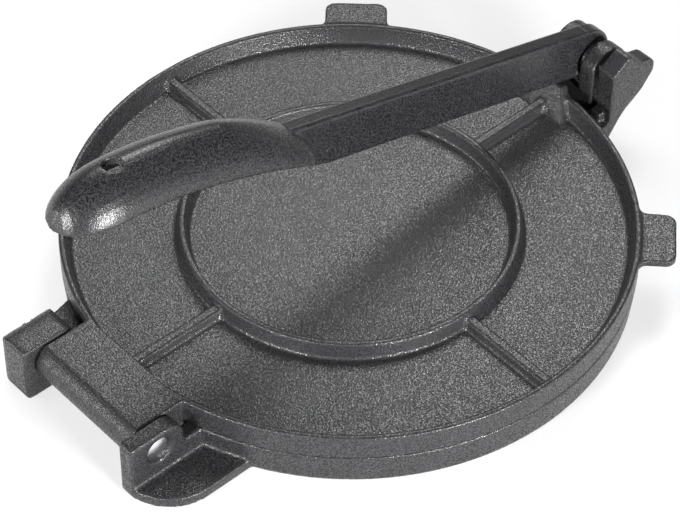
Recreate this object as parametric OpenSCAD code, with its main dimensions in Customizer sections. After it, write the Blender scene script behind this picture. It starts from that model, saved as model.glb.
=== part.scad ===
// Tortilla press of cast iron: two round plates on a hinge, and a long lever
// that bears on a pad at the far side of the upper plate.
// The origin is under the middle of the round plates, on the table. +Y points
// from the hinge to the lever's pivot, and +Z is up.

/* [Plates] */
// Outside radius of both round plates
plate_r = 105; // [90:1:130]
// Height of the base, from the table to the face that presses the dough
base_h = 13; // [12:0.5:18]
// Height of the upper plate, from its pressing face to the top of its rim
upper_h = 10.2; // [9:0.1:14]
// Thickness of the upper plate's floor
upper_floor = 2.9; // [2:0.1:4]
// Width of the upper plate's rim at its top
rim_w = 2.3; // [1.8:0.1:5]
// Width that the rim gains from its top to its foot
rim_draft = 1.6; // [0.5:0.1:3]
// Thickness of the base's pressing plate
base_floor = 5; // [3:0.5:7]
// Thickness of the base's outer wall
base_wall = 5; // [3:0.5:8]
// Amount by which the base narrows from its top to the table
base_draft = 0.9; // [0:0.1:2]
// Radius of the boss under the middle of the base, which stands on the table
boss_r = 16; // [12:1:24]
// Radius of the rounded edges on rims
edge_r = 0.6; // [0.3:0.1:0.9]

/* [Ring and ribs] */
// Outside radius of the stiffening ring on the upper plate, at its top
ring_r = 62; // [45:1:75]
// Width of the ring at its top
ring_w = 2.5; // [2:0.1:5]
// Depth of the ring's top below the rim's top
ring_drop = 0.9; // [0:0.1:3]
// Height of the four ribs above the floor
rib_h = 3.9; // [2:0.1:5]
// Width of a rib at its top
rib_w = 3.8; // [2:0.1:8]
// Width that a rib or the ring gains on each side at its foot
foot_draft = 0.9; // [0.3:0.1:1.5]

/* [Lifting tabs] */
// Distance that a lifting tab stands out from the rim
tab_reach = 12.4; // [8:0.2:20]
// Width of a lifting tab
tab_w = 24; // [16:1:34]
// Thickness of a lifting tab
tab_t = 3; // [2.5:0.1:5]
// Depth of a tab's top below the rim's top
tab_drop = 0.8; // [0.4:0.1:2]
// Angle between each tab and the lever's side of the press
tab_angle = 46.8; // [42:0.2:65]

/* [Hinge] */
// Distance from the plates' edge to the axis of the hinge pin
hinge_out = 12.2; // [12:0.2:18]
// Depth of the hinge pin's axis below the top of the upper plate's rim
hinge_drop = 7.4; // [7:0.1:7.8]
// Radius of the hinge pin
hinge_pin_r = 5; // [3.5:0.1:5.6]
// Depth of the hinge pin's domed ends inside the ears
hinge_pin_recess = 0.8; // [0.5:0.1:1.5]
// Radius of the hinge lug's barrel around the pin
barrel_r = 8.2; // [7.9:0.1:8.8]
// Width of the hinge lug of the upper plate
lug_w = 50.7; // [40:0.1:56]
// Distance of the hinge lug's middle from the lever's plane, towards the wing
lug_shift = 2.4; // [0:0.1:4]
// Gap between the hinge lug and each hinge ear
lug_gap = 0.6; // [0.3:0.1:2]
// Thickness of the thin ear
near_ear_t = 6.4; // [5:0.1:8]
// Thickness of the thick ear
far_ear_t = 16.5; // [12:0.1:18]
// Distance from the hinge pin's axis to the front face of both hinge ears
hinge_ear_front = 12.4; // [10:0.1:13]
// Height by which the hinge ears stand above the upper plate's rim
hinge_ear_rise = 0.8; // [0:0.1:2]
// Width of the low wing beside one hinge ear
wing_w = 15.9; // [10:0.1:20]
// Thickness of the wing
wing_t = 4.5; // [3:0.1:8]

/* [Lever pivot] */
// Distance from the plates' edge to the axis of the lever's pivot pin
pivot_out = 16.5; // [16:0.5:22]
// Height of the pivot pin's axis above the top of the upper plate's rim
pivot_rise = 5.5; // [5:0.1:8]
// Radius of the pivot pin
pivot_pin_r = 4; // [3:0.1:4.5]
// Radius of the round top of each pivot ear
pivot_ear_r = 9.2; // [8:0.1:9.6]
// Thickness of each pivot ear
pivot_ear_t = 6.9; // [4:0.1:8]
// Gap between the lever's hub and each pivot ear
hub_gap = 0.3; // [0.2:0.1:0.8]
// Thickness of the tall guard cheek beside one pivot ear
cheek_t = 7.8; // [5:0.1:10]
// Gap between the guard cheek and the pivot ear
cheek_gap = 2.4; // [2:0.1:8]

/* [Lever] */
// Slope of the lever's arm above the horizontal, with the press closed
arm_slope = 15.9; // [14:0.1:18]
// Thickness of the lever's arm
arm_t = 6.4; // [5:0.1:7]
// Distance from the pivot's axis to the arm's lower edge
arm_below = 7; // [6:0.1:7.4]
// Distance from the pivot's axis to the arm's upper edge
arm_above = 14; // [12:0.1:17]
// Radius of the arm's rounded edges
arm_edge_r = 1.5; // [0.5:0.1:2.4]
// Width of the lever's hub at the pivot pin
hub_w = 7.8; // [7.6:0.1:10]
// Distance along the arm from the pivot to the grip's near end
grip_start = 153.5; // [130:0.5:170]
// Length of the grip
grip_len = 108; // [90:1:125]
// Width of the grip
grip_w = 27; // [24:0.5:36]
// Height of the grip's arched back above its side edges
grip_arch = 14.4; // [11:0.1:17]
// Share of that height at the grip's near end
grip_arch_near = 0.43; // [0.35:0.01:0.7]
// Thickness of the grip's shell
grip_t = 3.4; // [2.5:0.1:5]
// Radius of the hanging hole in the grip
hole_r = 3.4; // [2:0.1:4]
// Level distance from the grip's nose to the hanging hole
hole_back = 26.3; // [20:0.1:40]

/* [Pressing pad] */
// Width of the pad's top, across the lever
pad_top_w = 8; // [6:0.5:9]
// Width of the pad's foot
pad_foot_w = 26; // [16:1:34]
// Clearance between the pad's top and the lever's arm, with the press closed
pad_gap = 0.4; // [0.3:0.1:0.8]

/* [Fits] */
// Radial clearance of each pin in the base's ears, which hold it
hold_clear = 0.05; // [0.02:0.01:0.06]
// Radial clearance of each pin in the part that turns on it
turn_clear = 0.08; // [0.06:0.01:0.1]

/* [Hidden] */
$fn = 96;
iron = [0.24, 0.24, 0.25];
steel = [0.72, 0.72, 0.74];

// Small overlap that makes neighbouring shapes of one piece a single solid
join = 0.5;
upper_top = base_h + upper_h;
floor_top = base_h + upper_floor;
floor_r = plate_r - rim_w - rim_draft;

hinge_y = -(plate_r + hinge_out);
hinge_z = upper_top - hinge_drop;
lug_x0 = lug_shift - lug_w / 2;
lug_x1 = lug_shift + lug_w / 2;
near_ear_in = lug_x1 + lug_gap;
near_ear_out = near_ear_in + near_ear_t;
far_ear_in = lug_x0 - lug_gap;
far_ear_out = far_ear_in - far_ear_t;
hinge_ear_top = upper_top + hinge_ear_rise;

pivot_y = plate_r + pivot_out;
pivot_z = upper_top + pivot_rise;
pivot_ear_in = hub_w / 2 + hub_gap;
pivot_ear_out = pivot_ear_in + pivot_ear_t;
cheek_in = pivot_ear_out + cheek_gap;
cheek_out = cheek_in + cheek_t;
// The ledge that carries the ears and the cheek, and its bracket under the ears
ledge_y = pivot_y - 2.3;
ledge_foot_y = plate_r + 4.8;
bracket_y = pivot_y + 4;
ledge_root_y = plate_r - 6.5;

pad_front = floor_r - 6;
pad_top_front = plate_r - 2.3;
pad_top_back = plate_r + 1.2;
under_clear = base_h - base_floor;

// Shared helpers

// A bar along X with the outline of its children, from x0 to x1
module along_x(x0, x1) {
    translate([x0, 0, 0]) rotate([90, 0, 90]) linear_extrude(x1 - x0) children();
}

// A rectangle from [x0, y0] to [x1, y1] with round corners of radius r
module round_rect(x0, y0, x1, y1, r) {
    translate([x0 + r, y0]) square([x1 - x0 - 2 * r, y1 - y0]);
    translate([x0, y0 + r]) square([x1 - x0, y1 - y0 - 2 * r]);
    for (x = [x0 + r, x1 - r], y = [y0 + r, y1 - r]) translate([x, y]) circle(r, $fn = 32);
}

// Points of an arc about c, from angle a0 to a1
function arc(c, r, a0, a1, n = 8) =
    [for (i = [0 : n]) c + r * [cos(a0 + (a1 - a0) * i / n), sin(a0 + (a1 - a0) * i / n)]];

// Base casting

module base_disc() {
    foot_r = plate_r - base_draft;
    inner_r = foot_r - base_wall;
    foot_edge = 2 * edge_r;
    rotate_extrude($fn = 180) polygon(concat(
        [[0, under_clear], [inner_r - 2, under_clear], [inner_r, 0.5], [inner_r + 0.5, 0]],
        arc([foot_r - foot_edge, foot_edge], foot_edge, -90, 0),
        arc([plate_r - edge_r, base_h - edge_r], edge_r, 0, 90),
        [[0, base_h]]));
}

// Four ribs and a boss that stiffen the base from below
module base_web() {
    web_w = rib_w + 2 * foot_draft;
    web_z = 1.5;
    reach = plate_r - base_wall;
    for (a = [0, 90]) rotate([0, 0, a])
        translate([-reach, -web_w / 2, web_z]) cube([2 * reach, web_w, under_clear + join - web_z]);
    cylinder(r = boss_r, h = under_clear + join);
}

// Outline of a hinge ear, seen along X: its foot reaches back into the base
module hinge_ear_outline(foot_r = 0.8) {
    front = hinge_y - hinge_ear_front;
    back = hinge_y + hinge_ear_front - 1.6;
    corner = 1.5;
    crown = 7;
    root = -plate_r + 9;
    polygon(concat(
        arc([front + foot_r, foot_r], foot_r, 180, 270, 6),
        [[root, 0], [root, base_h], [back, base_h]],
        arc([back - crown, hinge_ear_top - crown], crown, 0, 90),
        arc([front + corner, hinge_ear_top - corner], corner, 90, 180)));
}

// The thick ear, on the -X side, has rounded outer corners
module far_ear() {
    front = hinge_y - hinge_ear_front;
    corner = 6.5;
    shoulder = 9.5;
    heel = 8;
    intersection() {
        along_x(far_ear_out, far_ear_in) hinge_ear_outline(foot_r = 2.5);
        linear_extrude(hinge_ear_top + 1) polygon(concat(
            arc([far_ear_out + corner, front + corner], corner, 180, 270, 12),
            [[far_ear_in, front], [far_ear_in, 0], [far_ear_out, 0]]));
        translate([0, -plate_r + 10, 0]) rotate([90, 0, 0]) linear_extrude(2 * hinge_ear_front + 20)
            polygon(concat(
                [[far_ear_in, 0], [far_ear_in, hinge_ear_top]],
                arc([far_ear_out + shoulder, hinge_ear_top - shoulder], shoulder, 90, 180, 8),
                arc([far_ear_out + heel, heel], heel, 180, 270, 10)));
    }
}

// Gusset at table level that joins the thick ear's outer side to the round wall
module gusset() {
    in_wall = plate_r - base_draft - base_wall / 2;
    x1 = far_ear_out - 3.4;
    linear_extrude(base_h) polygon([
        [far_ear_out + 1, hinge_y + 4], [far_ear_out - 0.4, hinge_y + 7],
        [far_ear_out - 1.4, hinge_y + 14],
        [x1, -sqrt(pow(plate_r - base_draft, 2) - x1 * x1)],
        [x1, -sqrt(pow(in_wall, 2) - x1 * x1)],
        [far_ear_out + 1, -sqrt(pow(in_wall, 2) - pow(far_ear_out + 1, 2))]]);
}

// The low wing beside the thin ear, on the +X side, with a round corner
module wing() {
    x0 = near_ear_in + 1;
    x1 = near_ear_out + wing_w;
    corner = 20;
    front = hinge_y - hinge_ear_front;
    in_wall = plate_r - base_draft - base_wall / 2;
    intersection() {
        linear_extrude(wing_t) polygon(concat(
            [[x1 - corner, -sqrt(pow(in_wall, 2) - pow(x1 - corner, 2))]],
            arc([x1 - corner, front + corner], corner, -90, 0, 16),
            [[x1, -sqrt(pow(in_wall, 2) - x1 * x1)]]));
        translate([x0, -2 * plate_r, -1]) cube([2 * plate_r, 2 * plate_r, wing_t + 2]);
    }
}

// Outline of a pivot ear, seen along X: a round head on a broad stem
module pivot_ear_outline() {
    polygon(concat(
        [[ledge_root_y, 0], [ledge_root_y, base_h - join], [pivot_y - pivot_ear_r, base_h - join]],
        arc([pivot_y, pivot_z], pivot_ear_r, 180, -35, 24),
        [[bracket_y, base_h], [bracket_y, base_h - 2], [ledge_foot_y + 2, 0]]));
}

// Outline of the guard cheek, seen along X: a boot with its toe outward
module cheek_outline() {
    front = pivot_y - 8.7;
    polygon(concat(
        [[ledge_root_y, 0], [ledge_root_y, base_h - join], [front, base_h - join]],
        arc([front + 1.2, pivot_z + 6.6], 1.2, 180, 125, 4),
        arc([pivot_y - 0.4, pivot_z + 10.8], 2, 118, 40, 6),
        [[pivot_y + 3.6, pivot_z + 9.2], [pivot_y + 6.6, pivot_z + 6.9]],
        arc([pivot_y + 8.6, pivot_z + 0.7], 5.5, 80, -48, 12),
        [[pivot_y + 8.5, pivot_z - 8], [pivot_y + 4.5, pivot_z - 10.8],
         [pivot_y, pivot_z - 13.5], [ledge_y - 1, base_h - 1.2], [ledge_foot_y, 0]]));
}

// Small step in front of the cheek's foot
module cheek_step() {
    step_h = 4;
    translate([cheek_in - 0.4, pivot_y - 11.6, base_h - join])
        cube([cheek_t - 2.6, 4, step_h + join]);
}

// Web between the pivot ears, hollowed on top to clear the lever's knuckle
module pivot_web() {
    front = pivot_y - pivot_ear_r;
    along_x(1 - pivot_ear_out, pivot_ear_out - 1) polygon([
        [ledge_root_y, base_h - join], [front, base_h - join],
        [front, pivot_z - 9.2], [pivot_y - 5.6, pivot_z - 9.6], [pivot_y - 3.2, pivot_z - 12],
        [pivot_y - 1, base_h], [bracket_y, base_h], [bracket_y, base_h - 2],
        [ledge_foot_y + 2, 0], [ledge_root_y, 0]]);
}

// Ledge of the base that carries the pivot ears and the cheek
module ledge() {
    along_x(-pivot_ear_out - 2.5, cheek_out) polygon([
        [ledge_root_y, 0], [ledge_foot_y, 0], [ledge_y, base_h], [ledge_root_y, base_h]]);
}

module base_plate() color(iron) difference() {
    union() {
        base_disc();
        base_web();
        wing();
        gusset();
        far_ear();
        along_x(near_ear_in, near_ear_out) hinge_ear_outline();
        ledge();
        pivot_web();
        along_x(pivot_ear_in, pivot_ear_out) pivot_ear_outline();
        along_x(-pivot_ear_out, -pivot_ear_in) pivot_ear_outline();
        along_x(cheek_in, cheek_out) cheek_outline();
        cheek_step();
    }
    translate([far_ear_out - 1, hinge_y, hinge_z]) rotate([0, 90, 0])
        cylinder(r = hinge_pin_r + hold_clear, h = near_ear_out - far_ear_out + 2);
    translate([-pivot_ear_out - 1, pivot_y, pivot_z]) rotate([0, 90, 0])
        cylinder(r = pivot_pin_r + hold_clear, h = 2 * pivot_ear_out + 2);
}

// Upper plate casting

module upper_disc() {
    rim_in = plate_r - rim_w;
    fillet = 1.4;
    rotate_extrude($fn = 180) polygon(concat(
        [[0, base_h], [plate_r - edge_r, base_h]],
        arc([plate_r - edge_r, base_h + edge_r], edge_r, -90, 0),
        arc([plate_r - edge_r, upper_top - edge_r], edge_r, 0, 90),
        arc([rim_in + edge_r, upper_top - edge_r], edge_r, 90, 180),
        arc([floor_r - fillet, floor_top + fillet], fillet, 0, -90),
        [[0, floor_top]]));
}

module ring() {
    top = upper_top - ring_drop;
    ring_in = ring_r - ring_w;
    fillet = 0.8;
    rotate_extrude($fn = 160) polygon(concat(
        [[ring_in - foot_draft - fillet, floor_top - join], [ring_r + foot_draft + fillet, floor_top - join],
         [ring_r + foot_draft + fillet, floor_top]],
        arc([ring_r + foot_draft + fillet, floor_top + fillet], fillet, 270, 180, 5),
        arc([ring_r - edge_r, top - edge_r], edge_r, 0, 90),
        arc([ring_in + edge_r, top - edge_r], edge_r, 90, 180),
        arc([ring_in - foot_draft - fillet, floor_top + fillet], fillet, 0, -90, 5)));
}

// One rib, from the ring to the rim, along +Y
module rib() {
    top_half = rib_w / 2;
    foot_half = top_half + foot_draft;
    soft = 0.6;
    start = ring_r - ring_w / 2;
    translate([0, start, 0]) rotate([-90, 0, 0]) rotate([0, 0, 180])
        linear_extrude(plate_r - rim_w / 2 - start) polygon(concat(
            [[-foot_half, floor_top - join], [foot_half, floor_top - join], [foot_half, floor_top]],
            arc([top_half - soft, floor_top + rib_h - soft], soft, 15, 90, 5),
            arc([-top_half + soft, floor_top + rib_h - soft], soft, 90, 165, 5),
            [[-foot_half, floor_top]]));
}

// One lifting tab that stands out along +Y, with round corners and flared roots
module tab() {
    top = upper_top - tab_drop;
    tip = plate_r + tab_reach;
    half = tab_w / 2;
    corner = 4;
    flare = 4;
    root = plate_r - 1.5;
    translate([0, 0, top - tab_t]) linear_extrude(tab_t) polygon(concat(
        [[-half - flare, root - 1], [half + flare, root - 1]],
        arc([half + flare, root + flare], flare, -90, -180, 6),
        arc([half - corner, tip - corner], corner, 0, 90, 8),
        arc([-half + corner, tip - corner], corner, 90, 180, 8),
        arc([-half - flare, root + flare], flare, 0, -90, 6)));
}

// Height of the pad's top at distance y, parallel to the arm's lower edge
function pad_z(y) =
    pivot_z + (pivot_y - y) * tan(arm_slope) - arm_below / cos(arm_slope) - pad_gap;

// The pad that the lever bears on: a pedestal that tapers upward
module pad() {
    half_top = pad_top_w / 2;
    half_foot = pad_foot_w / 2;
    peak = pad_z(pad_top_front);
    intersection() {
        along_x(-half_foot, half_foot) polygon([
            [pad_front, floor_top - join], [floor_r + 1, floor_top - join],
            [plate_r - rim_w / 2, upper_top - 1], [plate_r - 0.2, upper_top - 0.8],
            [pad_top_back, pad_z(pad_top_back)], [pad_top_front, peak]]);
        translate([0, plate_r + 5, 0]) rotate([90, 0, 0]) linear_extrude(25) polygon([
            [-half_foot, floor_top - join], [half_foot, floor_top - join],
            [half_top, peak + 0.01], [-half_top, peak + 0.01]]);
    }
}

// Outline of the hinge lug, seen along X: a slab that ends in a barrel
module lug_outline() {
    top_edge = 180 - asin(hinge_drop / barrel_r);
    lowest = 360 - asin((hinge_z - base_h) / barrel_r);
    polygon(concat(
        [[-floor_r, base_h], [-floor_r, upper_top]],
        arc([hinge_y, hinge_z], barrel_r, top_edge, lowest, 36)));
}

module upper_plate() color(iron) difference() {
    union() {
        upper_disc();
        ring();
        for (a = [0 : 90 : 270]) rotate([0, 0, a]) rib();
        for (s = [-1, 1]) rotate([0, 0, s * tab_angle]) tab();
        pad();
        along_x(lug_x0, lug_x1) lug_outline();
    }
    translate([lug_x0 - 1, hinge_y, hinge_z]) rotate([0, 90, 0])
        cylinder(r = hinge_pin_r + turn_clear, h = lug_w + 2);
}

// Lever, drawn with its pivot at the origin and its arm along +X, then placed

grip_end = grip_start + grip_len;
nose_y = pivot_y - grip_end * cos(arm_slope);
hole_y = nose_y + hole_back;
// Share of the grip's length at which its side edges are highest
crest = 0.56;
// The knuckle stands this far behind the pivot's axis
knuckle_back = 7.4;
// The arm's lower edge starts to rise this far before the grip
rise_start = grip_start - 15;

// Height of the grip's side edge above the arm's axis, at share q of its length
function edge_v(q) = arm_above - 2.6 - (q < crest ? 24.5 : 44) * pow(q - crest, 2);
// Share of the full width at share q: corners just broken at the near end, a round nose
function taper(q) =
    q < 0.05 ? sqrt(1 - 0.45 * pow((0.05 - q) / 0.05, 2))
    : q > 0.8 ? sqrt(max(1 - pow((q - 0.8) / 0.2, 2.2), 0.004)) : 1;
function half_w(q) = grip_w / 2 * taper(q);
function arch_h(q) = grip_arch * pow(taper(q), 0.8)
    * (q < 0.38 ? 1 - (1 - grip_arch_near) * pow(1 - q / 0.38, 1.25) : 1);

// A point of the arch at angle a, w wide to each side and h high over height v
function arch_at(u, w, h, v, a) =
    [u, w * sign(cos(a)) * pow(abs(cos(a)), 1.25), v + h * pow(sin(a), 1.25)];

// One ring of points of the grip's shell: the back, then the hollow underside
function grip_ring(q, n) =
    let (w = half_w(q), h = arch_h(q), v = edge_v(q), u = grip_start + q * grip_len,
         wi = max(w - grip_t, 0.25 * w), hi = max(h - grip_t, 0.2))
    concat([for (i = [0 : n]) arch_at(u, w, h, v, 180 * i / n)],
           [for (i = [n : -1 : 0]) arch_at(u, wi, hi, v, 180 * i / n)]);

module grip_shell() {
    n = 18;
    rings = 34;
    count = 2 * (n + 1);
    // The rings of points lie closer together at both ends
    q_at = [for (i = [0 : rings]) let (s = i / rings) 0.3 * (1 - cos(180 * s)) + 0.4 * s];
    points = [for (q = q_at) each grip_ring(q, n)];
    sides = [for (k = [0 : rings - 1], j = [0 : count - 1])
        let (a = k * count + j, b = k * count + (j + 1) % count, c = a + count, d = b + count)
        each [[a, c, b], [b, c, d]]];
    near_end = [for (j = [0 : n - 1]) each [[j, j + 1, 2 * n - j], [j, 2 * n - j, 2 * n + 1 - j]]];
    nose = [for (t = near_end) [t[0], t[2], t[1]] + rings * count * [1, 1, 1]];
    polyhedron(points, concat(sides, near_end, nose), convexity = 6);
}

// The arm: a tall bar with round edges, whose lower half ends before the grip
module arm() {
    start = knuckle_back + 1.4;
    translate([start, 0, 0]) rotate([90, 0, 90]) linear_extrude(rise_start - start)
        round_rect(-arm_t / 2, -arm_below, arm_t / 2, arm_above, arm_edge_r);
    translate([rise_start - join, 0, 0]) rotate([90, 0, 90]) linear_extrude(grip_start - rise_start + 14)
        round_rect(-arm_t / 2, arm_above - 9, arm_t / 2, arm_above, arm_edge_r);
}

// Web under the grip: its lower edge curves up from the arm into the shell
module web() {
    rise_len = 0.34 * grip_len + grip_start - rise_start;
    steps = 14;
    for (layer = [[0, arm_edge_r], [0.3 * arm_edge_r, 0.3 * arm_edge_r], [arm_edge_r, 0]])
        translate([0, arm_t / 2 - layer[0], 0]) rotate([90, 0, 0]) linear_extrude(arm_t - 2 * layer[0])
            polygon(concat(
                [[rise_start - join, arm_above - 3], [rise_start - join, layer[1] - arm_below]],
                [for (i = [0 : steps]) let (s = i / steps) [rise_start + s * rise_len,
                    layer[1] - arm_below + (arm_below + arm_above) * (1 - cos(180 * s)) / 2]],
                [for (i = [5 : -1 : 0]) let (q = 0.09 + 0.05 * i)
                    [grip_start + q * grip_len, edge_v(q) + arch_h(q) - grip_t + 0.2]]));
}

// The knuckle behind the arm, seen from the side
knuckle_top = arm_above - 0.4;
crown_r = knuckle_top - 0.5;
module knuckle_outline() {
    heel = arm_below - 1;
    polygon(concat(
        [[knuckle_back + 4, -arm_below + 0.4], [knuckle_back + 4, knuckle_top]],
        arc([crown_r - knuckle_back, knuckle_top - crown_r], crown_r, 90, 180, 12),
        arc([heel - knuckle_back, heel - arm_below + 0.4], heel, 180, 270, 8)));
}

// Outline of the recess in each side of the knuckle, under its lip
module recess_outline() {
    lip = 2.6;
    floor_v = -arm_below - 4;
    polygon(concat(
        [[4.6, floor_v], [13.6, knuckle_top - lip]],
        arc([crown_r - knuckle_back, knuckle_top - crown_r], crown_r - lip, 90, 190, 12),
        [[-2 * knuckle_back, -1], [-2 * knuckle_back, floor_v]]));
}

module lever() color(iron) difference() {
    recess = 1.2;
    translate([0, pivot_y, pivot_z]) rotate([0, 0, -90]) rotate([0, -arm_slope, 0]) difference() {
        union() {
            difference() {
                union() {
                    arm();
                    translate([0, arm_t / 2 - 0.3, 0]) rotate([90, 0, 0])
                        linear_extrude(arm_t - 0.6) knuckle_outline();
                }
                for (y = [arm_t / 2 + 1, recess - arm_t / 2])
                    translate([0, y, 0]) rotate([90, 0, 0]) linear_extrude(recess + 1) recess_outline();
            }
            web();
            grip_shell();
            translate([0, hub_w / 2, 0]) rotate([90, 0, 0]) cylinder(r = arm_below - 0.3, h = hub_w);
        }
        translate([0, hub_w, 0]) rotate([90, 0, 0])
            cylinder(r = pivot_pin_r + turn_clear, h = 2 * hub_w);
    }
    translate([0, hole_y, pivot_z]) cylinder(r = hole_r, h = 2 * grip_len, $fn = 48);
}

// Pins

// Domed outline of the hinge pin's end at x, in direction s along the pin
function dome(x, s) = let (rise = 1.2, bow = (pow(hinge_pin_r, 2) + rise * rise) / (2 * rise),
    half = asin(hinge_pin_r / bow))
    [for (i = [0 : 8]) let (a = half * i / 8) [bow * sin(a), x - s * bow * (1 - cos(a))]];

module hinge_pin() color(steel) {
    x0 = far_ear_out + hinge_pin_recess;
    x1 = near_ear_out - hinge_pin_recess;
    translate([0, hinge_y, hinge_z]) rotate([0, 90, 0]) rotate_extrude($fn = 64)
        polygon(concat(dome(x1, 1), [for (i = [8 : -1 : 0]) dome(x0, -1)[i]]));
}

module pivot_pin() {
    head_t = 1.6;
    head_r = pivot_pin_r + 1.6;
    x0 = -pivot_ear_out - hold_clear;
    x1 = pivot_ear_out + hold_clear;
    color(steel) translate([0, pivot_y, pivot_z]) rotate([0, 90, 0]) rotate_extrude($fn = 64)
        polygon(concat(
            [[0, x0 - head_t], [head_r - head_t, x0 - head_t]],
            arc([head_r - head_t, x0], head_t, -90, 0, 6),
            [[pivot_pin_r, x0], [pivot_pin_r, x1], [head_r, x1]],
            arc([head_r - head_t, x1], head_t, 0, 90, 6),
            [[0, x1 + head_t]]));
}

base_plate();
upper_plate();
lever();
hinge_pin();
pivot_pin();
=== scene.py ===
"""The looks of a cast-iron tortilla press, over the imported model."""

import math

import bmesh
import bpy
from mathutils import Matrix, Vector


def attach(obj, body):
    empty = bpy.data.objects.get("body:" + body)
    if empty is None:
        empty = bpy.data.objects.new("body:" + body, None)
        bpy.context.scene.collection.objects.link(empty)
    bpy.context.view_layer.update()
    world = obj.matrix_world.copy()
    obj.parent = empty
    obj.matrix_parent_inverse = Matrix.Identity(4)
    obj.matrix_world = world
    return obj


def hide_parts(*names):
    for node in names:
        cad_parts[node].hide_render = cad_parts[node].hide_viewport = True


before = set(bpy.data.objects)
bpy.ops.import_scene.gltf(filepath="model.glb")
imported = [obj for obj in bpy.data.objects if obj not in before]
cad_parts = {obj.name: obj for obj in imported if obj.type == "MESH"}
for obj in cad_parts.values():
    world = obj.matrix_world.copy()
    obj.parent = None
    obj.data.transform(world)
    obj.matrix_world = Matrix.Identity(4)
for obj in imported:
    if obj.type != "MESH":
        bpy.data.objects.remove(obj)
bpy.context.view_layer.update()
scene = bpy.context.scene

# The grid that the plates are remeshed on, and how much finer the lever's is
GRID = 0.0006
LEVER_FINER = 0.7
WELD = 1e-6

# How far the floor reaches, how far it lies below the press, and its white, as the camera sees it
FLOOR_REACH = 3
FLOOR_GAP = 0.0003
FLOOR_WHITE = 0.55

# The height that the lamps are turned to
LAMP_TARGET = Vector((0, 0, 0.03))

# The photograph's frame in pixels, and the camera fitted to it: the focal length and the place
# where its axis meets the picture in pixels, its roll in degrees and its distance in metres
WIDTH, HEIGHT = 680, 512
FOCAL = 2800
CENTRE_X, CENTRE_Y = 350.24, 215.6
ROLL = 0.716
DISTANCE = 1.00908
SENSOR = 36


def add_node(material, kind, **inputs):
    """Adds a node of that kind and sets the inputs that are given by name."""
    node = material.node_tree.nodes.new(kind)
    for key, value in inputs.items():
        node.inputs[key.replace("_", " ")].default_value = value
    return node


def add_ramp(material, start, end, first, last):
    """Adds a colour ramp from the first colour at start to the last colour at end."""
    node = material.node_tree.nodes.new("ShaderNodeValToRGB")
    for element, position, colour in zip(node.color_ramp.elements, (start, end), (first, last)):
        element.position = position
        element.color = (*colour, 1.0)
    return node


def add_maximum(material, first, second):
    """Adds a node that gives the larger of two outputs."""
    node = material.node_tree.nodes.new("ShaderNodeMath")
    node.operation = "MAXIMUM"
    material.node_tree.links.new(first, node.inputs[0])
    material.node_tree.links.new(second, node.inputs[1])
    return node


def cast_iron(name, colour, roughness, hollows, grain):
    """Seasoned sand-cast iron: a pebbly skin with paler grain tops and slight blotches.

    The grain's tops have that roughness, hollows is what its hollows add to it, and grain is
    the strength of its bump.
    """
    mat = bpy.data.materials.new(name)
    mat.use_nodes = True
    tree = mat.node_tree
    link = tree.links.new
    shader = tree.nodes["Principled BSDF"]

    # The noise is turned, because it is faint on faces that lie along its own axes
    where = tree.nodes.new("ShaderNodeTexCoord")
    turned = add_node(mat, "ShaderNodeMapping", Rotation=(0.5, 0.8, 0.3))
    blotch = add_node(mat, "ShaderNodeTexNoise", Scale=30.0, Detail=4.0, Roughness=0.6)
    pebble = add_node(mat, "ShaderNodeTexNoise", Scale=1800.0, Detail=1.0, Roughness=0.6)
    ripple = add_node(mat, "ShaderNodeTexNoise", Scale=1200.0, Detail=1.0, Roughness=0.5)
    link(where.outputs["Object"], turned.inputs["Vector"])
    for texture in (blotch, pebble, ripple):
        link(turned.outputs["Vector"], texture.inputs["Vector"])

    tops = add_ramp(mat, 0.44, 0.56, [c * 0.1 for c in colour], [c * 2.8 for c in colour])
    cloud = add_ramp(mat, 0.3, 0.7, (0.8, 0.8, 0.8), (1.0, 1.0, 1.0))
    tone = tree.nodes.new("ShaderNodeMix")
    tone.data_type = "RGBA"
    tone.blend_type = "MULTIPLY"
    tone.inputs["Factor"].default_value = 1.0
    link(pebble.outputs["Fac"], tops.inputs["Fac"])
    link(blotch.outputs["Fac"], cloud.inputs["Fac"])
    link(tops.outputs["Color"], tone.inputs["A"])
    link(cloud.outputs["Color"], tone.inputs["B"])
    link(tone.outputs["Result"], shader.inputs["Base Color"])

    polish = add_node(mat, "ShaderNodeMapRange", From_Min=0.45, From_Max=0.55,
                      To_Min=roughness + hollows, To_Max=roughness)
    link(pebble.outputs["Fac"], polish.inputs["Value"])
    link(polish.outputs["Result"], shader.inputs["Roughness"])

    coarse = add_node(mat, "ShaderNodeBump", Strength=grain, Distance=0.0005)
    fine = add_node(mat, "ShaderNodeBump", Strength=grain, Distance=0.00015)
    link(pebble.outputs["Fac"], coarse.inputs["Height"])
    link(ripple.outputs["Fac"], fine.inputs["Height"])
    link(coarse.outputs["Normal"], fine.inputs["Normal"])
    link(fine.outputs["Normal"], shader.inputs["Normal"])
    shader.inputs["IOR"].default_value = 1.5
    return mat


def turned_steel(name):
    """Bright steel of a pin's ends, with faint turning marks."""
    mat = bpy.data.materials.new(name)
    mat.use_nodes = True
    tree = mat.node_tree
    shader = tree.nodes["Principled BSDF"]
    where = tree.nodes.new("ShaderNodeTexCoord")
    marks = add_node(mat, "ShaderNodeTexNoise", Scale=900.0, Detail=2.0)
    bump = add_node(mat, "ShaderNodeBump", Strength=0.15, Distance=0.0002)
    tree.links.new(where.outputs["Object"], marks.inputs["Vector"])
    tree.links.new(marks.outputs["Fac"], bump.inputs["Height"])
    tree.links.new(bump.outputs["Normal"], shader.inputs["Normal"])
    shader.inputs["Base Color"].default_value = (0.66, 0.66, 0.67, 1.0)
    shader.inputs["Metallic"].default_value = 1.0
    shader.inputs["Roughness"].default_value = 0.3
    return mat


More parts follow.
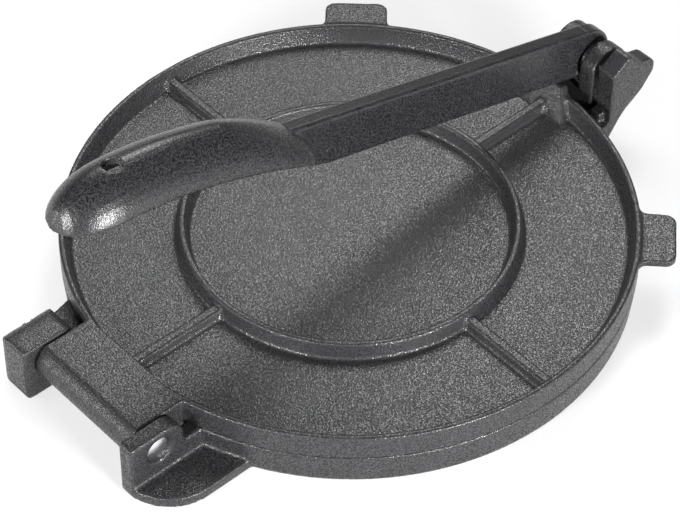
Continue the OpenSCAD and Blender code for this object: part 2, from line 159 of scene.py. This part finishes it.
def white_paper(name):
    """Paper that the camera and what mirrors it see as white, and that keeps its shadows."""
    mat = bpy.data.materials.new(name)
    mat.use_nodes = True
    tree = mat.node_tree
    shader = tree.nodes["Principled BSDF"]
    shader.inputs["Base Color"].default_value = (0.4, 0.4, 0.4, 1)
    shader.inputs["Roughness"].default_value = 0.9
    shader.inputs["Specular IOR Level"].default_value = 0.1
    shader.inputs["Emission Color"].default_value = (1, 1, 1, 1)
    ray = tree.nodes.new("ShaderNodeLightPath").outputs
    mirrored = add_maximum(mat, ray["Is Glossy Ray"], ray["Is Transmission Ray"])
    seen = add_maximum(mat, ray["Is Camera Ray"], mirrored.outputs["Value"])
    lift = tree.nodes.new("ShaderNodeMath")
    lift.operation = "MULTIPLY"
    lift.inputs[1].default_value = FLOOR_WHITE
    tree.links.new(seen.outputs["Value"], lift.inputs[0])
    tree.links.new(lift.outputs["Value"], shader.inputs["Emission Strength"])
    return mat


def casting(node, body, material, voxel, passes):
    """A casting in place of its plain solid: every edge and corner gets a cast radius."""
    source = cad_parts[node]
    mesh = source.data.copy()
    piece = bpy.data.objects.new(node + "_casting", mesh)
    scene.collection.objects.link(piece)
    piece.matrix_world = source.matrix_world.copy()
    work = bmesh.new()
    work.from_mesh(mesh)
    bmesh.ops.remove_doubles(work, verts=work.verts, dist=WELD)
    work.to_mesh(mesh)
    work.free()
    remesh = piece.modifiers.new("skin", "REMESH")
    remesh.mode = "VOXEL"
    remesh.voxel_size = voxel
    soften = piece.modifiers.new("soften", "SMOOTH")
    soften.factor = 0.5
    soften.iterations = passes
    graph = bpy.context.evaluated_depsgraph_get()
    piece.data = bpy.data.meshes.new_from_object(piece.evaluated_get(graph))
    piece.modifiers.clear()
    piece.data.materials.clear()
    piece.data.materials.append(material)
    for face in piece.data.polygons:
        face.use_smooth = True
        face.material_index = 0
    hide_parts(node)
    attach(piece, body)


def softbox(name, azimuth, elevation, distance, width, height, brightness):
    """A rectangular studio lamp that faces the press from an azimuth about +Z and an elevation."""
    turn, tilt = math.radians(azimuth), math.radians(elevation)
    level = math.cos(tilt)
    away = Vector((level * math.cos(turn), level * math.sin(turn), math.sin(tilt)))
    lamp = bpy.data.lights.new(name, "AREA")
    lamp.shape = "RECTANGLE"
    lamp.size = width
    lamp.size_y = height
    lamp.energy = brightness * math.pi * width * height
    holder = bpy.data.objects.new(name, lamp)
    scene.collection.objects.link(holder)
    holder.location = LAMP_TARGET + away * distance
    holder.rotation_euler = away.to_track_quat("Z", "Y").to_euler()


# Castings and pins
iron = cast_iron("seasoned_iron", (0.0145, 0.0145, 0.0155), roughness=0.2, hollows=0.36, grain=0.4)
lever_iron = cast_iron("seasoned_iron_lever", (0.014, 0.014, 0.015),
                       roughness=0.25, hollows=0.13, grain=0.25)
steel = turned_steel("pin_ends")
casting("base_plate", "base", iron, GRID, passes=6)
casting("upper_plate", "upper_plate", iron, GRID, passes=2)
casting("lever", "lever", lever_iron, GRID * LEVER_FINER, passes=6)
for name in ("hinge_pin", "pivot_pin"):
    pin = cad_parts[name]
    pin.data.materials.clear()
    pin.data.materials.append(steel)

# Floor
corners = [(-FLOOR_REACH, -FLOOR_REACH, 0), (FLOOR_REACH, -FLOOR_REACH, 0),
           (FLOOR_REACH, FLOOR_REACH, 0), (-FLOOR_REACH, FLOOR_REACH, 0)]
floor_mesh = bpy.data.meshes.new("floor")
floor_mesh.from_pydata(corners, [], [(0, 1, 2, 3)])
floor_mesh.materials.append(white_paper("paper"))
floor = bpy.data.objects.new("floor", floor_mesh)
scene.collection.objects.link(floor)
floor.location.z = -FLOOR_GAP

# Camera: the photograph's view, with the press turned 47.5 degrees
toward = Vector((0.51787, -0.47461, 0.71162)).normalized()
target = Vector((0, 0, 0.0232))
right = Vector((0, 0, 1)).cross(toward).normalized()
up = toward.cross(right)
roll = Matrix.Rotation(math.radians(ROLL), 3, "Z")
facing = Matrix((right, up, toward)).transposed() @ roll
camera = bpy.data.cameras.new("camera")
camera.lens = SENSOR * FOCAL / WIDTH
camera.sensor_width = SENSOR
camera.shift_x = -(CENTRE_X - WIDTH / 2) / WIDTH
camera.shift_y = (CENTRE_Y - HEIGHT / 2) / WIDTH
view = bpy.data.objects.new("camera", camera)
scene.collection.objects.link(view)
view.matrix_world = Matrix.Translation(target + toward * DISTANCE) @ facing.to_4x4()
scene.camera = view

# Light: a compact key behind the press, whose shadow of the lever crosses the plate, a wide dim
# one beside it, and small low ones to the right, in front and to the left of the camera
softbox("key", 120, 49.5, 1.6, 0.46, 0.56, brightness=15.5)
softbox("back", 154, 45, 1.15, 0.5, 0.6, brightness=4)
softbox("side_strip", -6, 11, 1.0, 0.24, 0.24, brightness=105)
softbox("front_strip", -80, 19, 1.0, 0.24, 0.24, brightness=62)
softbox("low_left", -123, 11, 1.0, 0.35, 0.2, brightness=14)
world = bpy.data.worlds.new("world")
scene.world = world
world.use_nodes = True
world.node_tree.nodes["Background"].inputs["Color"].default_value = (0.95, 0.97, 1.0, 1)
world.node_tree.nodes["Background"].inputs["Strength"].default_value = 0.12
scene.view_settings.view_transform = "Standard"
